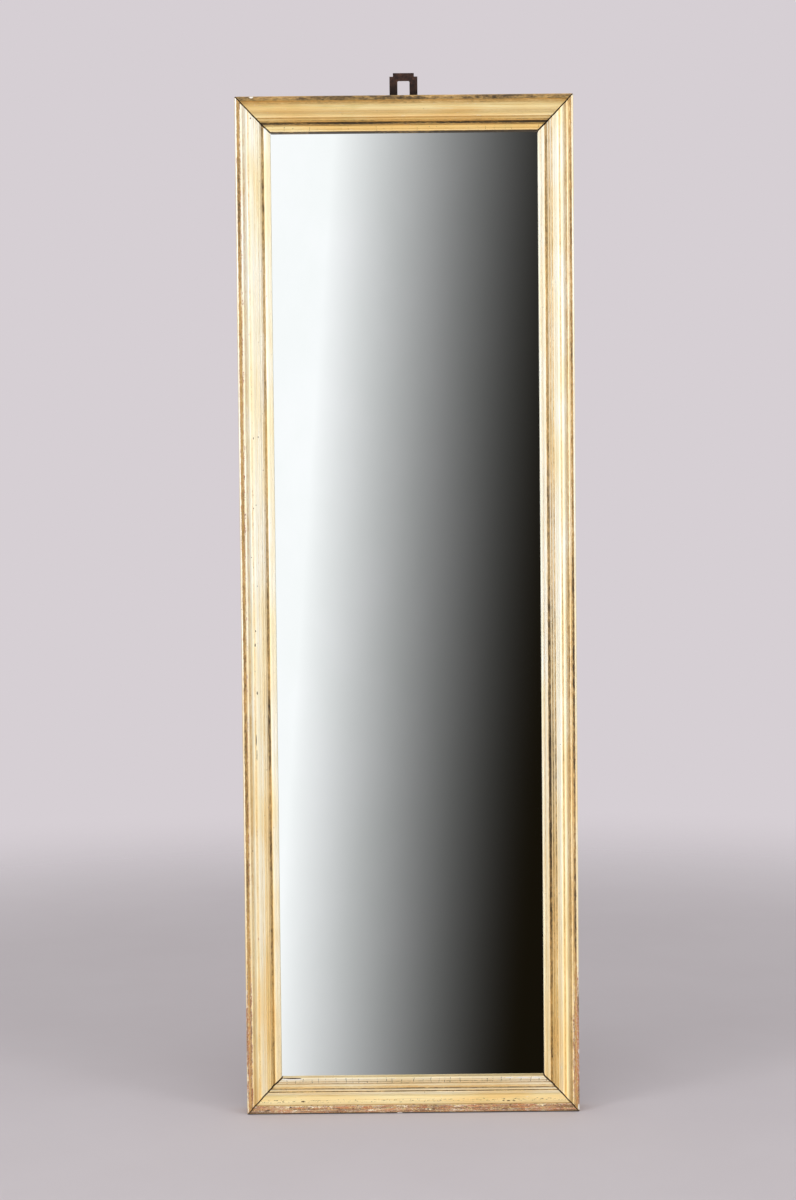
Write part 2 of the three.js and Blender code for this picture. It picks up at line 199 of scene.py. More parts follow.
def softened(values, step, reach):
    """A line of values averaged over a bell of that reach, its ends kept in place."""
    span = max(1, math.ceil(3 * reach / step))
    weights = np.exp(-0.5 * (np.arange(-span, span + 1) * step / reach) ** 2)
    padded = np.pad(values, span, mode="reflect", reflect_type="odd")
    return np.convolve(padded, weights / weights.sum(), mode="valid")


def member_section():
    """Closed outline of a member as (across, depth) in metres, with one zone name per leg and
    the slice of its points that are the front."""
    sight = MOULDING_WIDTH / MM
    dense = even_points(front_outline(), FINE_STEP)
    for k in (0, 1):
        dense[:, k] = softened(dense[:, k], FINE_STEP, GESSO_SOFTNESS)
    dense[:, 0] = np.clip(dense[:, 0], 0, sight)
    front = even_points(dense, SECTION_STEP)
    glass_wall = sight - GLASS_LAP
    board_wall = glass_wall - BOARD_LEDGE
    side = even_points(np.array([(0, 0), (0, front[0, 1])]), SIDE_STEP)[:-1]
    wall = np.array([(sight, front[-1, 1]), (sight, GLASS_LEDGE_DEPTH)])
    lip = even_points(wall, LIP_STEP)[1:]
    back = np.array([
        (glass_wall, GLASS_LEDGE_DEPTH), (glass_wall, BOARD_LEDGE_DEPTH),
        (board_wall, BOARD_LEDGE_DEPTH), (board_wall, 0),
    ])
    outline = np.concatenate([side, front, lip, back])
    zones = (
        ["side"] * len(side) + ["gilt"] * (len(front) - 1) + ["gilt"] * len(lip)
        + ["bare"] * (len(back) + 1)
    )
    return outline * MM, zones, slice(len(side), len(side) + len(front))


# ---- Mesh helpers

NOISE_SHIFT = (17.3, 5.1, 9.7)  # between the noises of two seeds
PEBBLE_SHIFT = (9.1, 3.7, 5.3)
PEBBLE_GRAIN = 1.9
PEBBLE_ROUGHNESS = 0.35
SAME_CORNER = 1e-6


def in_scene(name, data):
    made = bpy.data.objects.new(name, data)
    bpy.context.scene.collection.objects.link(made)
    return made


def new_object(name, mesh, materials):
    """An object of that mesh, with its materials in order."""
    for material in materials:
        mesh.materials.append(material)
    return in_scene(name, mesh)


def piece(made, *nodes, slot):
    """A finished piece rides on the frame and stands for the solids that it dresses."""
    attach(made, BODY)
    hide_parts(*nodes)


@contextmanager
def editing(mesh):
    """A mesh laid open for bmesh, and written back afterwards."""
    work = bmesh.new()
    work.from_mesh(mesh)
    yield work
    work.to_mesh(mesh)
    work.free()


def face_out(mesh):
    """Turn every face's front outwards."""
    with editing(mesh) as work:
        bmesh.ops.recalc_face_normals(work, faces=work.faces)


def give_attribute(mesh, name, values):
    """Store one value for each point on the corners that meet there, so that cuts keep it."""
    corners = np.empty(len(mesh.loops), dtype=np.int32)
    mesh.loops.foreach_get("vertex_index", corners)
    kind, key = ("FLOAT", "value") if values.ndim == 1 else ("FLOAT_VECTOR", "vector")
    made = mesh.attributes.new(name, kind, "CORNER")
    made.data.foreach_set(key, values[corners].astype(np.float32).ravel())


def noise_at(points, seed):
    """Noise from -1 to 1 at each point of an array."""
    shift = Vector([seed * part for part in NOISE_SHIFT])
    return np.array([noise.noise(Vector(point) + shift) for point in points])


def add_grown(work, node, gap, filled=False):
    """Add one of the frame's solids, grown by a gap on every side and, if asked, with its
    holes filled."""
    low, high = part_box(node)
    centre, size = (low + high) / 2, high - low
    known = set(work.verts)
    work.from_mesh(frame["nodes"][node].data)
    added = [vertex for vertex in work.verts if vertex not in known]
    for vertex in added:
        for k in range(3):
            vertex.co[k] = centre[k] + (vertex.co[k] - centre[k]) * (1 + 2 * gap / size[k])
    if filled:
        places = [vertex.co.copy() for vertex in added]
        bmesh.ops.delete(work, geom=added, context="VERTS")
        hull = bmesh.ops.convex_hull(work, input=[work.verts.new(place) for place in places])
        spare = [part for part in hull["geom_interior"] + hull["geom_unused"] if part.is_valid]
        bmesh.ops.delete(work, geom=list(set(spare)), context="VERTS")


def add_pebble(work, centre, radii, seed):
    """Add an uneven pebble: the shape of what a knock takes out."""
    shift = Vector([seed * part for part in PEBBLE_SHIFT])
    for vertex in bmesh.ops.create_icosphere(work, subdivisions=3, radius=1)["verts"]:
        push = 1 + PEBBLE_ROUGHNESS * noise.noise(vertex.co * PEBBLE_GRAIN + shift)
        vertex.co = Vector(centre[k] + vertex.co[k] * radii[k] * push for k in range(3))


def weld(mesh, distance):
    """Join corners that lie closer than that, and close the slits that this leaves."""
    with editing(mesh) as work:
        bmesh.ops.remove_doubles(work, verts=work.verts, dist=distance)
        slits = [edge for edge in work.edges if edge.is_boundary]
        bmesh.ops.holes_fill(work, edges=slits, sides=4)


def cut_away(made, name, material, add):
    """Cut out of a piece the solids that add(work) makes; the cut faces show that material."""
    mesh = bpy.data.meshes.new(name)
    with editing(mesh) as work:
        add(work)
        bmesh.ops.remove_doubles(work, verts=work.verts, dist=SAME_CORNER)
        for face in work.faces:
            face.material_index = 0
    face_out(mesh)
    mesh.materials.clear()
    cutter = new_object(name, mesh, [material])
    cut = made.modifiers.new(name, "BOOLEAN")
    cut.operation, cut.solver, cut.material_mode = "DIFFERENCE", "EXACT", "TRANSFER"
    cut.object = cutter
    bpy.context.view_layer.update()
    depsgraph = bpy.context.evaluated_depsgraph_get()
    whole = made.data
    made.data = bpy.data.meshes.new_from_object(
        made.evaluated_get(depsgraph), preserve_all_data_layers=True, depsgraph=depsgraph
    )
    made.modifiers.clear()
    made.data.name = whole.name
    bpy.data.meshes.remove(whole)
    bpy.data.objects.remove(cutter)
    bpy.data.meshes.remove(mesh)


# ---- Node helpers

START_SHARES = (1, 0.7, 1.3)  # how a noise's start is shared out over the three axes


class Graph:
    """Adds nodes to a tree. Apart from node(), each call gives back the new node's output."""

    def __init__(self, tree):
        self.tree = tree
        tree.nodes.clear()

    def node(self, kind, inputs=(), **settings):
        made = self.tree.nodes.new("ShaderNode" + kind)
        for key, value in settings.items():
            setattr(made, key, value)
        for key, value in dict(inputs).items():
            if isinstance(value, bpy.types.NodeSocket):
                self.tree.links.new(value, made.inputs[key])
            else:
                made.inputs[key].default_value = value
        return made

    def math(self, operation, a, b=0.0):
        return self.node("Math", {0: a, 1: b}, operation=operation).outputs[0]

    def plus(self, a, b):
        return self.math("ADD", a, b)

    def minus(self, a, b):
        return self.math("SUBTRACT", a, b)

    def times(self, a, b):
        return self.math("MULTIPLY", a, b)

    def centred(self, value):
        return self.minus(value, 0.5)

    def total(self, *shares):
        """The sum of some values, each times its share."""
        first, *others = (self.times(value, share) for value, share in shares)
        for other in others:
            first = self.plus(first, other)
        return first

    def vector_math(self, operation, a, b=(0, 0, 0), output="Vector"):
        return self.node("VectorMath", {0: a, 1: b}, operation=operation).outputs[output]

    def attribute(self, name, output="Fac"):
        return self.node("Attribute", attribute_name=name).outputs[output]

    def object_place(self):
        return self.node("TexCoord").outputs["Object"]

    def separate(self, vector):
        return self.node("SeparateXYZ", {0: vector}).outputs

    def stretched(self, vector, scales, start=0.0):
        scaled = self.vector_math("MULTIPLY", vector, scales)
        return self.vector_math("ADD", scaled, [start * share for share in START_SHARES])

    def noise(self, vector, scales, start=0.0, detail=3, rough=0.55, distortion=0.0):
        return self.node("TexNoise", {
            "Vector": self.stretched(vector, scales, start), "Scale": 1.0, "Detail": detail,
            "Roughness": rough, "Distortion": distortion,
        }).outputs["Fac"]

    def cells(self, vector, scale=1.0):
        """Cells about scattered points: their distances and their colours."""
        return self.node("TexVoronoi", {"Vector": vector, "Scale": scale}).outputs

    def range(self, value, low, high, to_low=0.0, to_high=1.0, kind="SMOOTHSTEP"):
        return self.node("MapRange", {
            "Value": value, "From Min": low, "From Max": high,
            "To Min": to_low, "To Max": to_high,
        }, interpolation_type=kind).outputs["Result"]

    def mix(self, factor, a, b):
        return self.node("Mix", {0: factor, 6: a, 7: b}, data_type="RGBA").outputs[2]

    def layered(self, colour, *layers):
        """Lay tones over a colour. A layer is (value, start, full, share, tone): none of its
        tone shows where the value is at its start, and that share of it where it is full."""
        for value, start, full, share, tone in layers:
            colour = self.mix(self.range(value, start, full, 0, share), colour, tone)
        return colour

    def bump(self, height, distance, strength=0.8):
        inputs = {"Height": height, "Distance": distance, "Strength": strength}
        return self.node("Bump", inputs).outputs["Normal"]


def rgb(red, green, blue):
    """A colour written in sRGB from 0 to 255, as the shader's linear values."""
    def linear(value):
        value /= 255
        return value / 12.92 if value <= 0.04045 else ((value + 0.055) / 1.055) ** 2.4
    return (linear(red), linear(green), linear(blue), 1.0)


def new_material(name, build, *settings):
    """A material whose Principled shader gets its inputs from build(graph, *settings)."""
    material = bpy.data.materials.new(name)
    material.use_nodes = True
    graph = Graph(material.node_tree)
    shader = graph.node("BsdfPrincipled", build(graph, *settings))
    graph.node("OutputMaterial", {"Surface": shader.outputs[0]}, is_active_output=True)
    return material


# ---- The gilding
# The mesh says how much each place is rubbed, soiled and painted with shade, nicked, cracked,
# painted pale as a highlight, and matt.

# The leaf's pale, warm, greenish and scratched tones where it kept its gold, and the paler tones
# that paint a highlight where light falls strongly.
GOLD_LEAF = rgb(255, 233, 172), rgb(248, 208, 132), rgb(226, 204, 132), rgb(186, 148, 86)
HIGHLIGHT_LEAF = rgb(255, 253, 240), rgb(254, 240, 200), rgb(248, 243, 216), rgb(210, 180, 134)
GLAZE = rgb(220, 175, 98)  # old size and dust, thin; over the soiled bands it also lays part of their painted shade
BOLE = rgb(194, 114, 72)
PINK_BROWN = rgb(196, 158, 128)
DARK_BROWN = rgb(98, 64, 40)
# the dark of dirt and of painted shade in the soiled bands, and of nicks, cracks and specks
GRIME_AND_SHADE = rgb(44, 31, 12)
GESSO = rgb(248, 242, 230)

# Scales (to a metre along, across and into the member), start, detail and roughness.
GILDING_NOISES = {
    "hairs": ((9, 2300, 700), 0.0, 3, 0.55),
    "streaks": ((14, 900, 300), 1.1, 4, 0.55),
    "patches": ((16, 60, 30), 3.1, 4, 0.55),
    "clouds": ((5, 25, 25), 7.7, 2, 0.55),
    "grains": ((500, 900, 600), 1.7, 3, 0.55),
    "drags": ((70, 520, 200), 5.5, 4, 0.55),
    "dashes": ((190, 900, 300), 9.3, 2, 0.55),
    "grit": ((240, 1100, 500), 6.1, 4, 0.6),
    "ragged": ((75, 260, 200), 2.9, 6, 0.62),
    "flecks": ((260, 620, 300), 4.4, 3, 0.6),
    "wander": ((40, 90, 90), 0.0, 1, 0.55),
}
RUBBED_THROUGH = (0.44, 0.54)  # the rubbing at which the leaf begins to go, and is gone
RUBBED_DEEP = (0.9, 1.25)  # and at which the bole lies bare and red
BARE_SHARE = 0.93  # how much of what lies under the leaf shows
EDGE_START, EDGE_END = (0.34, 0.42), (0.44, 0.52)  # the leaf's edge, a line of gesso
EDGE_SHARE = 0.85
CRACK_RATE = 75  # steps between cracks, to a metre
CRACK_WANDER = 0.35  # of a step
CRACK_WIDTH = (0.02, 0.06)  # from its middle, in steps
SPECK_RATE = 110  # to a metre
SPECK_SIZE = 0.11  # the largest, in steps
MARK_SHARE = 0.7  # how dark cracks and specks are
LEAF_METAL = 0.78
LEAF_ROUGHNESS = 0.33
LEAF_COAT = {"Coat Weight": 0.25, "Coat Roughness": 0.3}
LEAF_RELIEF = 0.22 * MM


def under_leaf(graph, noises, rubbing, green):
    """What shows where the leaf is gone: bole, darkened and freckled, and crumbs of gesso."""
    deep = graph.range(rubbing, *RUBBED_DEEP)
    brown = graph.mix(deep, PINK_BROWN, BOLE)
    under = graph.mix(graph.range(noises["drags"], 0.42, 0.58), BOLE, brown)
    darkened = graph.plus(noises["streaks"], graph.times(rubbing, 0.3))
    dark = graph.times(graph.range(darkened, 0.64, 0.84, 0, 0.9), graph.minus(1.0, deep))
    under = graph.layered(
        graph.mix(dark, under, DARK_BROWN),
        (noises["flecks"], 0.56, 0.62, 0.75, green),
        (noises["dashes"], 0.60, 0.70, 0.85, GRIME_AND_SHADE),
        (noises["flecks"], 0.40, 0.34, 0.5, GESSO),
    )
    crumbs = graph.times(deep, graph.range(noises["grit"], 0.55, 0.62, 0, 0.85))
    return graph.mix(crumbs, under, GESSO)


def worn_leaf(graph, noises, rubbing, faded):
    """The leaf's colour, worn as the rubbing says and painted paler as a highlight where the mesh
    says, and how bare each place is.
    """
    pale, warm, green, scratched = (
        graph.mix(faded, *tones) for tones in zip(GOLD_LEAF, HIGHLIGHT_LEAF)
    )
    leaf = graph.layered(
        pale,
        (noises["clouds"], 0.38, 0.66, 1, warm),
        (noises["patches"], 0.5, 0.74, 0.6, green),
        (noises["streaks"], 0.48, 0.68, 0.7, warm),
        (noises["hairs"], 0.54, 0.7, 0.5, scratched),
    )
    speckle = graph.total(
        (graph.centred(noises["grains"]), 0.8), (graph.centred(noises["ragged"]), 1.9)
    )
    rubbed = graph.plus(rubbing, speckle)
    bare = graph.range(rubbed, *RUBBED_THROUGH)
    under = under_leaf(graph, noises, rubbing, green)
    colour = graph.mix(graph.times(bare, BARE_SHARE), leaf, under)
    edge = graph.times(graph.range(rubbed, *EDGE_START), graph.range(rubbed, *EDGE_END, 1, 0))
    return graph.mix(graph.times(edge, EDGE_SHARE), colour, GESSO), bare


def dirt_and_painted_shade(graph, noises, soil_and_shade, nicked, colour):
    """The colour under its dirt and painted shade, in the recesses, streaks and nicks, and how dark
    these make it.
    """
    uneven = graph.total(
        (graph.centred(noises["ragged"]), 1.5), (graph.centred(noises["grit"]), 1.2)
    )
    darkening = graph.plus(soil_and_shade, graph.times(uneven, graph.plus(0.1, soil_and_shade)))
    nicks = graph.plus(noises["dashes"], graph.times(nicked, 0.23))
    dirt_and_shade = graph.math(
        "MAXIMUM", graph.range(darkening, 0.3, 1.0, 0, 0.96), graph.range(nicks, 0.78, 0.84, 0, 0.85)
    )
    glazed = graph.layered(colour, (darkening, 0.02, 0.45, 0.75, GLAZE))
    return graph.mix(dirt_and_shade, glazed, GRIME_AND_SHADE), dirt_and_shade


def hair_cracks(graph, noises, place, cracked):
    """Hair cracks across the slip, at uneven steps."""
    along = graph.separate(place)[0]
    steps = graph.total((along, CRACK_RATE), (noises["wander"], CRACK_WANDER))
    cells = graph.node(
        "TexVoronoi", {"W": steps, "Scale": 1.0}, voronoi_dimensions="1D",
        feature="DISTANCE_TO_EDGE",
    ).outputs["Distance"]
    present = graph.range(graph.plus(noises["drags"], graph.times(cracked, 0.3)), 0.66, 0.8)
    return graph.times(graph.range(cells, *CRACK_WIDTH, 1, 0), present)


def specks(graph, place):
    """Fly specks: a dot in every fifth cell or so, of its own size."""
    dots = graph.cells(place, SPECK_RATE)
    chance = graph.separate(dots["Color"])[0]
    size = graph.range(chance, 0.8, 1.0, 0.0, SPECK_SIZE, "LINEAR")
    return graph.math("LESS_THAN", dots["Distance"], size)


def gilding(graph):
    """Old water gilding: leaf over red-brown bole over gesso, rubbed on its crowns, dark in its
    grooves with dirt and painted shade, painted pale where a highlight falls, with fine cracks
    across the slip."""
    place = graph.attribute("place", "Vector")
    rubbing, soil_and_shade, nicked, cracked, faded, matt = (
        graph.attribute(name)
        for name in ("rubbed", "soiled", "nicked", "cracked", "faded", "matt")
    )
    noises = {name: graph.noise(place, *lay) for name, lay in GILDING_NOISES.items()}
    colour, bare = worn_leaf(graph, noises, rubbing, faded)
    colour, dirt_and_shade = dirt_and_painted_shade(graph, noises, soil_and_shade, nicked, colour)
    crack = hair_cracks(graph, noises, place, cracked)
    for mark in (crack, specks(graph, place)):
        colour = graph.mix(graph.times(mark, MARK_SHARE), colour, GRIME_AND_SHADE)

    dull = graph.math("MAXIMUM", bare, dirt_and_shade)
    metal = graph.times(graph.times(graph.minus(1.0, dull), LEAF_METAL), graph.minus(1.0, matt))
    height = graph.total(
        (noises["streaks"], 0.5), (noises["hairs"], 0.35), (noises["drags"], 0.5),
        (noises["grains"], 0.12), (bare, -0.5), (crack, -1.0),
    )
    return {
        "Base Color": colour,
        "Metallic": metal,
        "Roughness": graph.plus(
            LEAF_ROUGHNESS, graph.total((noises["patches"], 0.14), (matt, 0.15), (dull, 0.3))
        ),
        "Normal": graph.bump(height, LEAF_RELIEF),
        **LEAF_COAT,
    }


# ---- The other materials

OCHRE = rgb(178, 142, 90), rgb(150, 106, 68)
SCUFFED = rgb(128, 90, 60)
SCRAPED = rgb(196, 176, 140)
SIDE_RELIEF = 0.25 * MM

# Woods: light, dark and stained.
MEMBER_PINE = rgb(146, 108, 70), rgb(104, 72, 44), rgb(74, 54, 38)
BOARD_PINE = rgb(158, 118, 76), rgb(112, 76, 44), rgb(78, 56, 38)
BLOCK_PINE = rgb(176, 138, 92), rgb(132, 94, 58), rgb(90, 66, 44)
CUT_PINE = rgb(150, 112, 72), rgb(108, 76, 46), rgb(80, 58, 40)
BIRCH = rgb(170, 132, 92), rgb(140, 104, 70), rgb(96, 70, 48)
DUST = rgb(168, 156, 138)
PINE_RINGS, BIRCH_RINGS = 6.5 * MM, 3 * MM
PLANK_SHIFT = (3.7, 0.9, 1.3)  # between pieces, which come from different planks
GRAIN_ORDER = {"X": (0, 1, 2), "Z": (2, 0, 1), "PLACE": (0, 1, 2)}
# Scales along the grain and across it twice, start past the piece's seed, and detail.
WOOD_NOISES = {
    "sway": ((2.2, 14, 14), 0, 2),
    "fibres": ((22, 1300, 1300), 0, 4),
    "blotches": ((5, 14, 14), 4, 4),
    "saw marks": ((420, 8, 8), 2, 2),
    "dust": ((60, 60, 60), 9, 4),
}
KNOT_SCALES = (2.6, 6.5, 3.0)
RING_SLANT = 0.55
RING_SWAY = 45 * MM
WOOD_RELIEF = 0.3 * MM

FORGED = rgb(44, 32, 30), rgb(84, 58, 48)
RUST = rgb(122, 76, 54)
IRON_SHADE = rgb(30, 21, 18)
HANGER_SHADE = (FRAME_HEIGHT + 34 * MM, FRAME_HEIGHT + 8 * MM)  # painted shade on the hanger near the frame: none above, full below
NAIL_RUST, HANGER_RUST = 0.12, 0.09
IRON_RELIEF = 0.4 * MM

SILVER = rgb(247, 249, 248), rgb(243, 246, 244)
GLASS_EDGE = rgb(96, 126, 112), rgb(142, 166, 152)
TIN = rgb(120, 120, 118), rgb(160, 160, 156)
FRESH_GESSO = rgb(242, 236, 224), rgb(255, 252, 246)
PIT_DIRT_AND_SHADE = rgb(40, 28, 20), rgb(92, 60, 40)
CRUMB_RELIEF = 0.2 * MM


def side_paint(graph):
    """The frame's outer sides: a thin ochre wash over gesso and wood, scuffed."""
    place = graph.attribute("place", "Vector")
    clouds = graph.noise(place, (6, 30, 60), detail=5)
    scuffs = graph.noise(place, (30, 400, 700), 2.2, detail=4)
    grains = graph.noise(place, (700, 700, 900), 4.2, detail=2)
    worn = graph.range(graph.plus(scuffs, graph.times(clouds, 0.35)), 0.74, 0.84)
    bare = graph.range(graph.plus(scuffs, graph.times(grains, 0.3)), 0.84, 0.92)
    colour = graph.mix(graph.range(clouds, 0.35, 0.7), *OCHRE)
    colour = graph.mix(worn, colour, SCUFFED)
    return {
        "Base Color": graph.mix(bare, colour, SCRAPED),
        "Roughness": graph.range(clouds, 0.2, 0.8, 0.62, 0.82),
        "Normal": graph.bump(graph.minus(graph.times(grains, 0.3), worn), SIDE_RELIEF, 0.7),
    }


def wood(graph, tones, grain_axis, seed, ring_size=PINE_RINGS):
    """Bare old wood with its grain along one axis, sawn and darkened."""
    light, dark, stain = tones
    on_member = grain_axis == "PLACE"
    place = graph.attribute("place", "Vector") if on_member else graph.object_place()
    parts = graph.separate(place)
    plank = graph.node("ObjectInfo").outputs["Random"]
    spots = [
        graph.plus(parts[axis], graph.times(plank, shift))
        for axis, shift in zip(GRAIN_ORDER[grain_axis], PLANK_SHIFT)
    ]
    turned = graph.node("CombineXYZ", enumerate(spots)).outputs[0]
    sway, fibres, blotches, saw_marks, dust = (
        graph.noise(turned, scales, seed + start, detail)
        for scales, start, detail in WOOD_NOISES.values()
    )
    knots = graph.cells(graph.stretched(turned, KNOT_SCALES, seed))["Distance"]
    rings = graph.total((spots[1], 1), (spots[2], RING_SLANT), (graph.centred(sway), RING_SWAY))
    phase = graph.math("FRACT", graph.times(rings, 1 / ring_size))
    late = graph.times(graph.range(phase, 0.35, 0.95), graph.range(phase, 0.95, 1.0, 1, 0))

    colour = graph.mix(graph.times(late, 0.38), light, dark)
    colour = graph.layered(colour, (fibres, 0.42, 0.72, 0.7, dark))
    colour = graph.layered(
        graph.mix(graph.times(plank, 0.4), colour, stain),
        (blotches, 0.42, 0.8, 0.5, stain),
        (knots, 0.085, 0.045, 0.85, stain),
        (dust, 0.55, 0.8, 0.25, DUST),
    )
    height = graph.total((late, 0.5), (fibres, 1), (saw_marks, 0.7))
    return {
        "Base Color": colour,
        "Roughness": graph.range(fibres, 0.3, 0.7, 0.72, 0.9),
        "Normal": graph.bump(height, WOOD_RELIEF, 0.6),
    }


def iron(graph, rust_share, seed=0.0, shaded_below=None):
    """Forged iron under a dark brown coat of rust, rubbed on its high places, with painted shade
    below a given height where the frame shades it.
    """
    place = graph.object_place()
    broad = graph.noise(place, (90, 90, 90), seed, detail=5, rough=0.65)
    fine = graph.noise(place, (700, 700, 700), seed, detail=4, rough=0.7)
    pits = graph.cells(place, 900.0)["Distance"]
    rusty = graph.range(
        graph.total((fine, 0.6), (broad, 0.6)), 0.75 - rust_share, 0.95 - rust_share
    )
    colour = graph.mix(graph.range(broad, 0.35, 0.65), *FORGED)
    colour = graph.mix(graph.times(rusty, 0.75), colour, RUST)
    if shaded_below:
        # painted shade on the iron below the given height
        colour = graph.layered(colour, (graph.separate(place)[2], *shaded_below, 0.9, IRON_SHADE))
    height = graph.plus(
        graph.total((broad, 1), (fine, 0.5)), graph.range(pits, 0.0, 0.35, 0.0, 0.4)
    )
    return {
        "Base Color": colour,
        "Metallic": graph.minus(0.55, graph.times(rusty, 0.5)),
        "Roughness": graph.range(fine, 0.3, 0.7, 0.5, 0.82),
        "Normal": graph.bump(height, IRON_RELIEF),
    }


def silvered_face(graph):
    """The plate's face: clear glass over its silvering, with a faint haze of age."""
    place = graph.object_place()
    haze = graph.noise(place, (9, 9, 5), detail=5)
    wipes = graph.noise(place, (40, 40, 4), 3.0, detail=4, distortion=0.6)
    return {
        "Base Color": graph.mix(graph.range(haze, 0.3, 0.7), *SILVER),
        "Metallic": 1.0,
        "Roughness": graph.plus(0.012, graph.times(graph.range(wipes, 0.4, 0.9), 0.018)),
    }


def clouded(graph, tones, scale, detail, roughness, metallic=0.0):
    """A surface that wavers between two tones, and from smoother to rougher."""
    clouds = graph.noise(graph.object_place(), (scale,) * 3, detail=detail)
    return {
        "Base Color": graph.mix(clouds, *tones),
        "Metallic": metallic,
        "Roughness": graph.range(clouds, 0.3, 0.7, *roughness),
    }


def crumbly(graph, tones, scale, spread, roughness):
    """A dry broken surface in two tones, the noise's spread apart."""
    crumbs = graph.noise(graph.object_place(), (scale,) * 3)
    return {
        "Base Color": graph.mix(graph.range(crumbs, *spread), *tones),
        "Roughness": roughness,
        "Normal": graph.bump(crumbs, CRUMB_RELIEF),
    }


M_GILT = new_material("worn_gilding", gilding)
M_SIDE = new_material("ochre_side", side_paint)
M_MEMBER_WOOD = new_material("member_pine", wood, MEMBER_PINE, "PLACE", 1.0)
M_BOARD = new_material("board_pine", wood, BOARD_PINE, "X", 2.0)
M_BLOCK = new_material("block_pine", wood, BLOCK_PINE, "Z", 3.0)
M_FEATHER = new_material("feather_birch", wood, BIRCH, "X", 5.0, BIRCH_RINGS)
M_KERF = new_material("cut_pine", wood, CUT_PINE, "X", 7.0)
M_IRON = new_material("forged_iron", iron, HANGER_RUST, 0.0, HANGER_SHADE)
M_NAIL = new_material("nail_iron", iron, NAIL_RUST, 3.0)
M_SILVER = new_material("silvered_face", silvered_face)
M_EDGE = new_material("plate_edge", clouded, GLASS_EDGE, 300, 3, (0.15, 0.4))
M_TIN = new_material("tin_back", clouded, TIN, 12, 6, (0.4, 0.6), 0.6)
M_GESSO = new_material("bare_gesso", crumbly, FRESH_GESSO, 900, (0.3, 0.7), 0.9)
M_PIT = new_material("soiled_pit", crumbly, PIT_DIRT_AND_SHADE, 700, (0.35, 0.65), 0.85)


# ---- The four moulded members
# Bands across a member are (start, end, amount), in millimetres from its outer edge. `foot` is
# the rubbing of the outer edge near the floor. `highlit` is how far the leaf is painted pale as a
# highlight at the two HIGHLIGHT_HEIGHTS, and `pales` are bands painted paler still, by `pale_shares`
# there.
# `soils` are dirt and, on some bands, painted shade; `soil_shares` scales them at the
# SOIL_AND_SHADE_HEIGHTS. The leaf is burnished, apart from `matts`.

TOP, BOTTOM, LEFT, RIGHT = "top_rail", "bottom_rail", "left_stile", "right_stile"

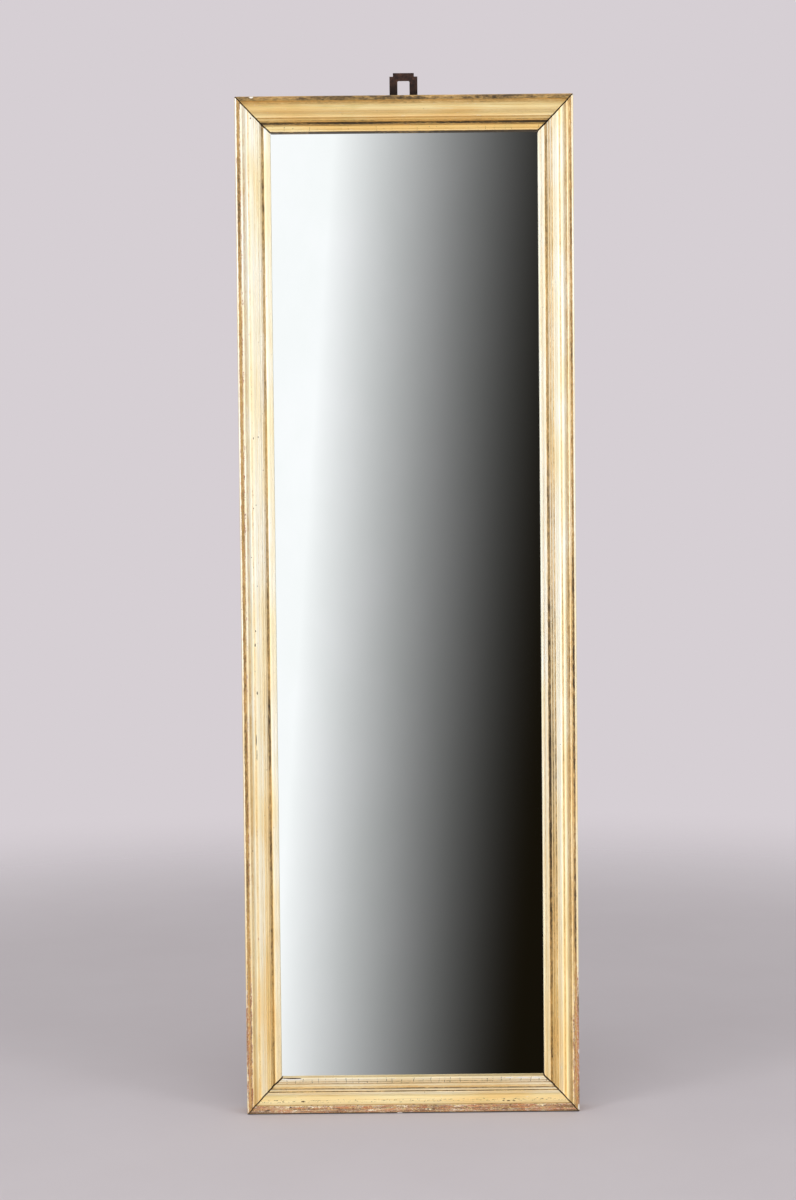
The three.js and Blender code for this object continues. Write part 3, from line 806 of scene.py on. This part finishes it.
MEMBERS = {
    BOTTOM: {
        "length": FRAME_WIDTH, "turn": 0, "at": (0, 0, 0),
        "rubs": [(-1, 11.2, 0.8), (11.2, 12.6, 0.3), (35.6, 37.3, 0.2), (51, 53, 0.2)],
        "soils": [
            # The first soil band, at the outer edge, is a painted contact shadow where the rail
            # stands on the floor.
            (-1, 2.4, 1.4), (11.8, 13.1, 0.55), (16.4, 17.3, 0.16), (24, 26.5, 0.1),
            (28.2, 29, 0.12), (31.7, 32.9, 1), (36.3, 37.5, 0.95), (38.2, 40, 0.25),
            (43.8, 44.8, 0.75), (47.2, 48.2, 0.7),
        ],
        "pales": [(27.5, 31.4, 0.55), (33.4, 54, 0.55)],
        "matts": [(13.4, 17.6, 0.7), (28.4, 31.6, 0.85), (33.2, 36, 0.6), (39, 54, 0.8)],
        "nicks": [(16.5, 21, 0.8), (0, 12.6, 0.75)], "foot": 0, "cracks": 0.8,
        "faded": (0.1, 0.1), "pale_shares": (1, 1), "soil_shares": (1, 1, 1, 1),
    },
    TOP: {
        "length": FRAME_WIDTH, "turn": math.pi, "at": (0, 0, FRAME_HEIGHT),
        "rubs": [(-1, 5.2, 0.84)],
        # The top rail's soils carry painted shade as well as dirt: its sight edge's wall (53.1 to
        # 60) is painted dark as the shade it lies in, and its bead's inner flank (7.2 to 11.8) and
        # groove (38 to 41.5), which face down away from the light, are darker with painted shade
        # than on the bottom rail.
        "soils": [
            (-1, 0.6, 0.8), (0.8, 7.2, 0.72), (7.2, 11.8, 0.4),
            (22, 26.5, 0.14), (31.6, 33.2, 0.3), (35.2, 37.2, 0.55),
            (38, 41.5, 1), (47.8, 50.2, 0.2), (53.1, 60, 1.1),
        ],
        "pales": [(28, 31, 0.2), (51, 53, 0.2)],
        "matts": [(16.6, 21.4, 1), (27.6, 30.6, 0.6), (51, 53, 0.5)],
        "nicks": [(35, 44, 0.4)], "foot": 0, "cracks": 0.45,
        "faded": (0, 0), "pale_shares": (1, 1), "soil_shares": (1, 1, 1, 1),
    },
    LEFT: {
        "length": FRAME_HEIGHT, "turn": math.pi / 2, "at": (-FRAME_WIDTH / 2, 0, FRAME_HEIGHT / 2),
        "rubs": [(2.8, 7.4, 0.9), (7.4, 9.6, 0.3), (20.2, 21.6, 0.2)],
        "soils": [
            (-1, 0.9, 0.4), (3.3, 7.2, 0.66), (10.8, 15.2, 0.26), (18.8, 20.9, 0.28),
            (27.9, 29, 0.2), (32.8, 34.6, 0.2), (39.4, 44, 0.62),
        ],
        "pales": [(15, 20, 0.2), (22, 32, 0.6), (46, 54, 0.5)],
        "matts": [(23.6, 31.4, 0.75), (47, 54, 0.4)],
        "nicks": [(20.2, 22.2, 0.5), (36, 44, 0.4)], "foot": 0.6, "cracks": 0.2,
        "faded": (0.1, 1), "pale_shares": (0.6, 1), "soil_shares": (0.75, 1.05, 0.62, 0.9),
    },
    RIGHT: {
        "length": FRAME_HEIGHT, "turn": -math.pi / 2, "at": (FRAME_WIDTH / 2, 0, FRAME_HEIGHT / 2),
        "rubs": [(3.2, 6.9, 0.8), (11.5, 13, 0.2)],
        "soils": [
            (3.6, 6.9, 0.8), (6.9, 10.4, 0.24), (10.4, 12, 0.6), (12, 15.6, 0.28),
            (20.2, 22.4, 0.4), (32.2, 33.9, 0.6), (36.3, 37.8, 0.65), (39.6, 44.4, 0.76),
            (44.9, 46.8, 0.16), (49.7, 50.6, 0.4),
        ],
        "pales": [(24, 31.6, 0.6), (44, 54, 0.3)],
        "matts": [(25.6, 31.6, 0.75)],
        "nicks": [(8, 12, 0.3), (36, 44, 0.4)], "foot": 1, "cracks": 0.2,
        "faded": (0.1, 0.9), "pale_shares": (0.5, 1), "soil_shares": (0.9, 1.05, 0.66, 0.75),
    },
}
SOIL_AND_SHADE_HEIGHTS = (200, 600, 1100, 1450)
HIGHLIGHT_HEIGHTS = (100, 900)
BAND_SOFT = 0.5  # how softly a band ends
RUB_SOFT = 1.1  # and a rubbed one
FOOT_HEIGHTS = (-1, 210, 70)  # where the foot's rubbing starts, ends, and how softly
FOOT_BAND = (-3, 5.4, 2)  # the same, across the outer edge
FLAKES = (5.8, 9.8)  # beside that band the gesso flakes
FLAKING = 0.42
FOOT_CLEARED = 0.85  # how much of its dirt and painted shade goes with the leaf, at most
PATCH_SCALES = (11, 30, 0)  # of the uneven wear, to a metre along and across
PATCHY_RUBS, PATCHY_SOIL_AND_SHADE = 0.35, 0.4
PATCH_SEED = 7
SINK = 0.16  # how far the gilded face lies inside the solid, on average, with its waves
SINK_WAVES = (0.10, 0.05)
WAVE_RATES = (9, 38)  # to a metre along
WAVES_ACROSS = 4  # times as many as along
MITRE_SOIL_AND_SHADE = 2.4  # dirt and painted shade of the open joint, along the edge of each mitre
MITRE_SOIL_AND_SHADE_REACH = 0.8

SECTION, ZONES, FRONT = member_section()
ZONE_SLOT = {"gilt": 0, "side": 1, "bare": 2}
SLIP_BAND = (45, 53.7)
WALL_ACROSS = 57  # stands for the sight edge's wall, which lies past the front
SHARP_ANGLE = math.radians(38)  # steeper edges stay sharp


def window(values, start, end, soft=BAND_SOFT):
    """1 between two places and 0 beyond them, with soft edges."""
    rise = np.clip((values - start + soft) / (2 * soft), 0, 1)
    fall = np.clip((end + soft - values) / (2 * soft), 0, 1)
    return rise * rise * (3 - 2 * rise) * fall * fall * (3 - 2 * fall)


def banded(across, bands, soft=BAND_SOFT):
    return sum((amount * window(across, start, end, soft) for start, end, amount in bands),
               np.zeros_like(across))


def to_world(member_name, local):
    """Points (along, across, depth) on a member as points in the frame's axes."""
    shape = MEMBERS[member_name]
    local = np.atleast_2d(local)
    placed = np.stack([local[:, 0], BACK - local[:, 2], local[:, 1]], 1)
    turned = np.array(Matrix.Rotation(shape["turn"], 3, "Y")) @ placed.T
    return turned.T + np.array(shape["at"])


def swept_points(length):
    """A member's points (along, across, depth) between two mitres that stand a little open, and
    its stations, which are the places of its sections along it, from -1 to 1."""
    across, depth = SECTION[:, 0], SECTION[:, 1]
    outer_end = length / 2 - MITRE_GAP_OUTER * MM / math.sqrt(2)
    inner_end = length / 2 - MOULDING_WIDTH - MITRE_GAP_INNER * MM / math.sqrt(2)
    ends = outer_end + (inner_end - outer_end) * across / MOULDING_WIDTH
    stations = np.linspace(-1, 1, round(length / MM / STATION_STEP) + 1)
    last = stations[-1] - MITRE_SOIL_AND_SHADE_REACH * MM / (length / 2)
    stations = np.sort(np.append(stations, [-last, last]))
    along = stations[:, None] * ends[None, :]
    laid = np.ones_like(along)
    return np.stack([along, across * laid, depth * laid], 2).reshape(-1, 3), stations


def skin(count, points):
    """The faces over a row of closed sections and its two ends, with one zone name for each."""
    faces, zones = [], []
    for here in range(0, (count - 1) * points, points):
        there = here + points
        for j in range(points):
            k = (j + 1) % points
            faces.append((here + j, here + k, there + k, there + j))
            zones.append(ZONES[j])
    faces.append(tuple(range(points)))
    faces.append(tuple((count - 1) * points + j for j in reversed(range(points))))
    return faces, zones + ["bare"] * 2


def weathering(name, flat, stations, seed):
    """What the gilding reads from a member's mesh, point by point."""
    shape = MEMBERS[name]
    band_place = SECTION[:, 0] / MM
    band_place[FRONT.stop:] = WALL_ACROSS
    bands = np.tile(band_place, len(stations))
    height = to_world(name, flat)[:, 2] / MM
    patch = noise_at(flat * PATCH_SCALES, seed + PATCH_SEED)

    low_down = window(height, *FOOT_HEIGHTS)
    near_foot = low_down * window(bands, *FOOT_BAND)
    flaked = low_down * window(bands, *FLAKES)
    rubbed = banded(bands, shape["rubs"], RUB_SOFT)
    rubbed += shape["foot"] * np.maximum(near_foot, FLAKING * flaked)
    # dirt, and on some bands painted shade, from the member's soil bands
    soiled = banded(bands, shape["soils"]) * (1 + PATCHY_SOIL_AND_SHADE * patch)
    soiled *= 1 - min(shape["foot"], FOOT_CLEARED) * np.maximum(near_foot, flaked)
    soiled *= np.interp(height, SOIL_AND_SHADE_HEIGHTS, shape["soil_shares"])
    # dirt and painted shade along each mitre's edge, where the open joint lies in shadow
    soiled += MITRE_SOIL_AND_SHADE * np.repeat(np.abs(stations) == 1, len(SECTION))
    # leaf painted paler as a highlight, more the higher up, and more on its highlight bands
    faded = np.interp(height, HIGHLIGHT_HEIGHTS, shape["faded"])
    paler = np.interp(height, HIGHLIGHT_HEIGHTS, shape["pale_shares"])
    return {
        "place": flat + np.array([seed, 0, 0]),
        "rubbed": rubbed * (1 + PATCHY_RUBS * patch),
        "soiled": soiled,
        "nicked": banded(bands, shape["nicks"]),
        "faded": np.minimum(faded + banded(bands, shape["pales"]) * paler, 1),
        "matt": banded(bands, shape["matts"]),
        "cracked": shape["cracks"] * window(bands, *SLIP_BAND),
    }


def member(name):
    """A moulded member, its gilded face sunk by slight waves."""
    shape = MEMBERS[name]
    seed = 2.0 + len(MEMBERS) * shape["turn"]
    flat, stations = swept_points(shape["length"])
    waves = (
        depth * noise_at(flat * (rate, WAVES_ACROSS * rate, 0), seed + rate)
        for depth, rate in zip(SINK_WAVES, WAVE_RATES)
    )
    is_front = np.zeros(len(SECTION))
    is_front[FRONT.start + 1:FRONT.stop] = 1
    sunk = flat.copy()
    sunk[:, 2] -= sum(waves, SINK) * np.tile(is_front, len(stations)) * MM

    mesh = bpy.data.meshes.new(name)
    faces, zones = skin(len(stations), len(SECTION))
    mesh.from_pydata(to_world(name, sunk).tolist(), [], faces)
    mesh.polygons.foreach_set("material_index", [ZONE_SLOT[zone] for zone in zones])
    face_out(mesh)
    for kind, values in weathering(name, flat, stations, seed).items():
        give_attribute(mesh, kind, values)
    mesh.shade_smooth()
    mesh.set_sharp_from_angle(angle=SHARP_ANGLE)
    return new_object(name + "_gilded", mesh, [M_GILT, M_SIDE, M_MEMBER_WOOD])


# ---- Joints, let-in iron, knocks and chips

# A knock is a pebble's shape taken out of a member: (member, x or z of its middle, how far that
# lies from the outer edge, then its reach from there along, across and deep), in millimetres.
CHIPS = [
    (TOP, -237, 1.9, 3.4, 1.7, 1.3),
    (BOTTOM, -21.6, 0.9, 4, 2.6, 1.6),
    (BOTTOM, -193, 52.6, 16, 1.7, 0.9),
    (BOTTOM, 196, 51.4, 8, 1.9, 0.7),
    (BOTTOM, 175, 52, 11, 1.1, 0.5),
    (BOTTOM, 153, 52.2, 7, 0.9, 0.5),
    (RIGHT, 8, 1.2, 4.5, 2, 2),
    (RIGHT, 96, 0.8, 5, 0.9, 1.2),
    (RIGHT, 62, 0.6, 2.4, 0.8, 1),
    (LEFT, 196, 1.4, 4, 0.8, 1),
]
PITS = [
    (LEFT, 745, 21.2, 2.6, 1.3, 1),
    (LEFT, 767, 22.2, 1.6, 0.8, 0.8),
    (LEFT, 669, 23.4, 2.4, 1, 0.9),
    (LEFT, 594, 21.1, 9, 1, 0.8),
    (LEFT, 571, 22, 8, 0.8, 0.6),
    (LEFT, 1070, 22.6, 1.7, 0.8, 0.7),
    (LEFT, 1072, 29.8, 1.4, 0.8, 0.7),
    (LEFT, 960, 21.5, 1.5, 0.7, 0.7),
    (LEFT, 1568, 23.9, 1.4, 0.9, 0.7),
    (RIGHT, 84, 42, 1.4, 1.1, 0.8),
    (BOTTOM, -175, 18.6, 3.4, 0.8, 0.7),
    (BOTTOM, -207, 18.6, 1.4, 0.7, 0.6),
    (BOTTOM, -232, 6.4, 4.6, 0.9, 0.7),
    (BOTTOM, -195, 9.4, 2, 1.2, 0.8),
    (BOTTOM, -121, 8, 4.8, 0.9, 0.7),
    # this pit's dark paints a shadow line above the white chip in the sight edge
    (BOTTOM, -193, 53.7, 17, 0.9, 1.6),
    (BOTTOM, 143, 17.5, 1.6, 0.7, 0.6),
    (BOTTOM, 151, 17.2, 2.6, 0.8, 0.7),
    (BOTTOM, 160, 17, 2.2, 0.6, 0.6),
]


def add_knocks(work, name, knocks):
    """Add the pebbles that knocked pieces out of one member."""
    upright = MEMBERS[name]["length"] == FRAME_HEIGHT
    step = (to_world(name, (1, 0, 0)) - to_world(name, (0, 0, 0)))[0]
    heading = np.sign(step[2 if upright else 0])
    front_across, front_depth = SECTION[FRONT, 0], SECTION[FRONT, 1]
    for seed, (member_name, middle, across, *size) in enumerate(knocks):
        if member_name != name:
            continue
        centre = middle - FRAME_HEIGHT / MM / 2 if upright else middle
        depth = np.interp(across * MM, front_across, front_depth) - SINK * MM
        where = to_world(name, (heading * centre * MM, across * MM, depth))[0]
        long, wide, deep = (value * MM for value in size)
        radii = (wide, deep, long) if upright else (long, deep, wide)
        add_pebble(work, where, radii, seed)


def seats(gap, starts, side="", filled=False):
    """For cut_away: the solids whose names start so and hold a side's word, grown by a gap."""
    def add(work):
        for node in frame["nodes"]:
            if node.startswith(starts) and side in node:
                add_grown(work, node, gap * MM, filled)

    return add


def let_in(made, name):
    """Cut the seats of the keys, nails, screws and hanger, then the chips and pits."""
    side = name.split("_")[0]
    cut_away(made, "seats", M_KERF, seats(SEAT_GAP, ("mitre_key", "board_nail"), side))
    if name == TOP:
        cut_away(made, "screws", M_KERF, seats(SCREW_GAP, "hanger_screw"))
        cut_away(made, "bed", M_KERF, seats(SEAT_GAP, "hanger_plate", filled=True))
    for label, material, knocks in (("chips", M_GESSO, CHIPS), ("pits", M_PIT, PITS)):
        if any(knock[0] == name for knock in knocks):
            cut_away(made, label, material, lambda work: add_knocks(work, name, knocks))
    weld(made.data, WELD * MM)


for name in MEMBERS:
    moulded = member(name)
    let_in(moulded, name)
    piece(moulded, name, slot="gilt_moulding")


# ---- The plate

PLATE_BEVEL = 0.3 * MM
FACING = 0.9  # a face looks forward or back when its normal does by this much


def plate():
    """The glass: a box with its edges eased, silvered on its face, with tin on its back."""
    size, centre = GLASS_HIGH - GLASS_LOW, (GLASS_LOW + GLASS_HIGH) / 2
    mesh = bpy.data.meshes.new("silvered_plate")
    with editing(mesh) as work:
        bmesh.ops.create_cube(work, size=1)
        for vertex in work.verts:
            vertex.co = Vector(vertex.co[k] * size[k] + centre[k] for k in range(3))
        bmesh.ops.bevel(
            work, geom=work.edges, offset=PLATE_BEVEL, segments=2, affect="EDGES", profile=0.5
        )
    face_out(mesh)
    made = new_object("silvered_plate", mesh, [M_EDGE, M_SILVER, M_TIN])
    for face in mesh.polygons:
        if face.normal.y < -FACING:
            face.material_index = 1
        elif face.normal.y > FACING:
            face.material_index = 2
    piece(made, "mirror_glass", slot="silvered_glass")


plate()


# ---- Carried-over solids: their finishes and eased edges

EASED_ANGLE = math.radians(30)  # steeper edges are eased


def dress(node, material, bevel):
    solid = frame["nodes"][node]
    solid.data.materials.clear()
    solid.data.materials.append(material)
    eased = solid.modifiers.new("eased_edges", "BEVEL")
    eased.width = bevel
    eased.segments = 2
    eased.limit_method = "ANGLE"
    eased.angle_limit = EASED_ANGLE


FINISHES = {
    "backboard": (M_BOARD, 0.35 * MM),
    "glass_block": (M_BLOCK, 0.3 * MM),
    "mitre_key": (M_FEATHER, 0.1 * MM),
    "board_nail": (M_NAIL, 0.15 * MM),
    "hanger_screw": (M_NAIL, 0.1 * MM),
    "hanger_plate": (M_IRON, 0.4 * MM),
}

for node in frame["nodes"]:
    for start, (material, bevel) in FINISHES.items():
        if node.startswith(start):
            dress(node, material, bevel)


# ---- The studio

CAMERA_AT = Vector((-0.0166, -3.1576, 0.9371))
CAMERA_PITCH = math.radians(2.242)  # downwards
CAMERA_ROLL = math.radians(0.569)
FOCAL_LENGTH = 60.0
SENSOR = 36.0
CLIP_NEAR, CLIP_FAR = 0.05, 60

BACKDROP = rgb(214, 207, 212)
FLOOR = rgb(206, 199, 203)
FLOOR_MOTTLE = rgb(198, 190, 194)
FLOOR_SIZE = 14.0
FLOOR_CLEAR = (1.3, 3.4)  # the floor fades into the backdrop between these distances
AMBIENT = 0.62

# (name, where it stands, width, height, power)
SOFTBOXES = [
    ("left_softbox", (-2.3, -1.9, 1.15), 0.9, 2.0, 27),
    ("right_softbox", (2.3, -1.9, 1.15), 0.9, 2.0, 20),
    ("top_softbox", (0, -1.0, 3.4), 2.2, 1.2, 16),
]
SOFTBOX_TARGET = Vector((0, 0, FRAME_HEIGHT / 2))


def camera():
    data = bpy.data.cameras.new("camera")
    data.lens = FOCAL_LENGTH
    data.sensor_width = SENSOR
    data.clip_start, data.clip_end = CLIP_NEAR, CLIP_FAR
    made = in_scene("camera", data)
    level = Matrix.Rotation(math.radians(90) - CAMERA_PITCH, 4, "X")
    made.matrix_world = Matrix.Translation(CAMERA_AT) @ level @ Matrix.Rotation(-CAMERA_ROLL, 4, "Z")
    bpy.context.scene.camera = made


def softbox(name, at, width, height, power):
    data = bpy.data.lights.new(name, "AREA")
    data.shape = "RECTANGLE"
    data.size, data.size_y = width, height
    data.energy = power
    made = in_scene(name, data)
    made.location = at
    made.rotation_mode = "QUATERNION"
    made.rotation_quaternion = (Vector(at) - SOFTBOX_TARGET).to_track_quat("Z", "Y")
    made.visible_glossy = False


def studio_floor():
    mesh = bpy.data.meshes.new("studio_floor")
    half = FLOOR_SIZE / 2
    corners = [(-half, -half, 0), (half, -half, 0), (half, half, 0), (-half, half, 0)]
    mesh.from_pydata(corners, [], [(0, 1, 2, 3)])
    material = bpy.data.materials.new("studio_floor")
    material.use_nodes = True
    graph = Graph(material.node_tree)
    place = graph.object_place()
    distance = graph.vector_math("LENGTH", place, output="Value")
    mottle = graph.noise(place, (3, 3, 3), detail=5)
    colour = graph.layered(FLOOR, (mottle, 0.3, 0.7, 0.3, FLOOR_MOTTLE))
    solid = graph.node("BsdfDiffuse", {"Color": colour}).outputs[0]
    clear = graph.node("BsdfTransparent").outputs[0]
    share = graph.range(distance, *FLOOR_CLEAR)
    mixed = graph.node("MixShader", {0: share, 1: solid, 2: clear}).outputs[0]
    graph.node("OutputMaterial", {"Surface": mixed})
    made = new_object("studio_floor", mesh, [material])
    made.visible_glossy = False


# What polished surfaces see. Straight ahead of the glass, white on the left falls off to black
# on the right along a leaning edge, as a lit card beside a black flag gives. A bearing is a
# tangent, + to the right.
CARD_LEAN = 0.08  # sideways shift of the edge for each unit of rise
CARD_FALL = (-0.045, 0.083)  # from white to black
CARD_CURVE = 2.2  # the fall-off, even to the eye
CARD_WHITE = (1.02, 1.03, 1.05, 1)
CARD_BLACK = (0.008, 0.006, 0.003, 1)
CARD_EDGE = (0.12, 0.3)  # the card and the flag end between these, to either side
PAST_LOW, PAST_HIGH = (0.95, 0.93, 0.93, 1), (1.4, 1.39, 1.38, 1)  # past them, by z
PAST_RISE = (-0.05, 0.35)
SIDE_LOW, SIDE_HIGH = (1.25, 1.22, 1.2, 1), (1.75, 1.73, 1.71, 1)  # the soft lights at the sides
SIDE_RISE = (-0.22, 0.02)
GAP_IN, GAP_OUT = (0.36, 0.56), (0.6, 1.1)  # a dim gap parts them from what is straight ahead
BETWEEN = (0.30, 0.29, 0.30, 1)
LEFT_MORE, WHITE = 0.3, (2.3, 2.28, 2.25, 1)  # the left one is the stronger
LEFT_TO_RIGHT = (-0.3, 0.3)  # by x
BEHIND, BEHIND_FROM = (0.72, 0.70, 0.71, 1), (-0.25, 0.0)  # by y
CEILING, CEILING_FROM = (1.02, 1.0, 0.99, 1), (0.45, 0.75)  # by z
REFLECTED_FLOOR, FLOOR_FROM = (0.72, 0.68, 0.70, 1), (-0.38, -0.55)  # by z
LEAST_AHEAD = 0.05  # so that nothing is divided by zero


def reflected(graph):
    """The colour that a polished surface sees in each direction."""
    ray = graph.node("NewGeometry").outputs["Incoming"]
    x, y, z = graph.separate(graph.vector_math("MULTIPLY", ray, (-1, -1, -1)))
    ahead = graph.math("MAXIMUM", graph.times(y, -1), LEAST_AHEAD)
    rise = graph.math("DIVIDE", z, ahead)
    bearing = graph.minus(graph.math("DIVIDE", x, ahead), graph.times(rise, CARD_LEAN))
    lit = graph.range(bearing, *CARD_FALL, 1, 0, "LINEAR")
    seen = graph.mix(graph.math("POWER", lit, CARD_CURVE), CARD_BLACK, CARD_WHITE)
    aside = graph.math("ABSOLUTE", bearing)
    past = graph.mix(graph.range(z, *PAST_RISE), PAST_LOW, PAST_HIGH)
    seen = graph.mix(graph.range(aside, *CARD_EDGE), seen, past)
    gap = graph.times(graph.range(aside, *GAP_IN), graph.range(aside, *GAP_OUT, 1, 0))
    seen = graph.mix(gap, seen, BETWEEN)
    side = graph.mix(graph.range(z, *SIDE_RISE), SIDE_LOW, SIDE_HIGH)
    left = graph.mix(LEFT_MORE, side, WHITE)
    side = graph.mix(graph.range(x, *LEFT_TO_RIGHT), left, side)
    seen = graph.mix(graph.range(aside, *GAP_OUT), seen, side)
    return graph.layered(
        seen,
        (y, *BEHIND_FROM, 1, BEHIND),
        (z, *FLOOR_FROM, 1, REFLECTED_FLOOR),
        (z, *CEILING_FROM, 1, CEILING),
    )


def world():
    """Plain light for matt surfaces, the backdrop for the camera, the card for polished ones."""
    made = bpy.data.worlds.new("studio")
    bpy.context.scene.world = made
    made.use_nodes = True
    graph = Graph(made.node_tree)
    card = reflected(graph)
    path = graph.node("LightPath").outputs
    clear_view = graph.math("MAXIMUM", path["Is Camera Ray"], path["Is Transmission Ray"])
    ambient, backdrop, card = (
        graph.node("Background", {"Color": colour, "Strength": strength}).outputs[0]
        for colour, strength in (((1, 1, 1, 1), AMBIENT), (BACKDROP, 1.0), (card, 1.0))
    )
    shade = graph.node("MixShader", {0: path["Is Glossy Ray"], 1: ambient, 2: card})
    shade = graph.node("MixShader", {0: clear_view, 1: shade.outputs[0], 2: backdrop})
    graph.node("OutputWorld", {"Surface": shade.outputs[0]})


camera()
studio_floor()
world()
for settings in SOFTBOXES:
    softbox(*settings)

scene = bpy.context.scene
scene.view_settings.view_transform = "Standard"
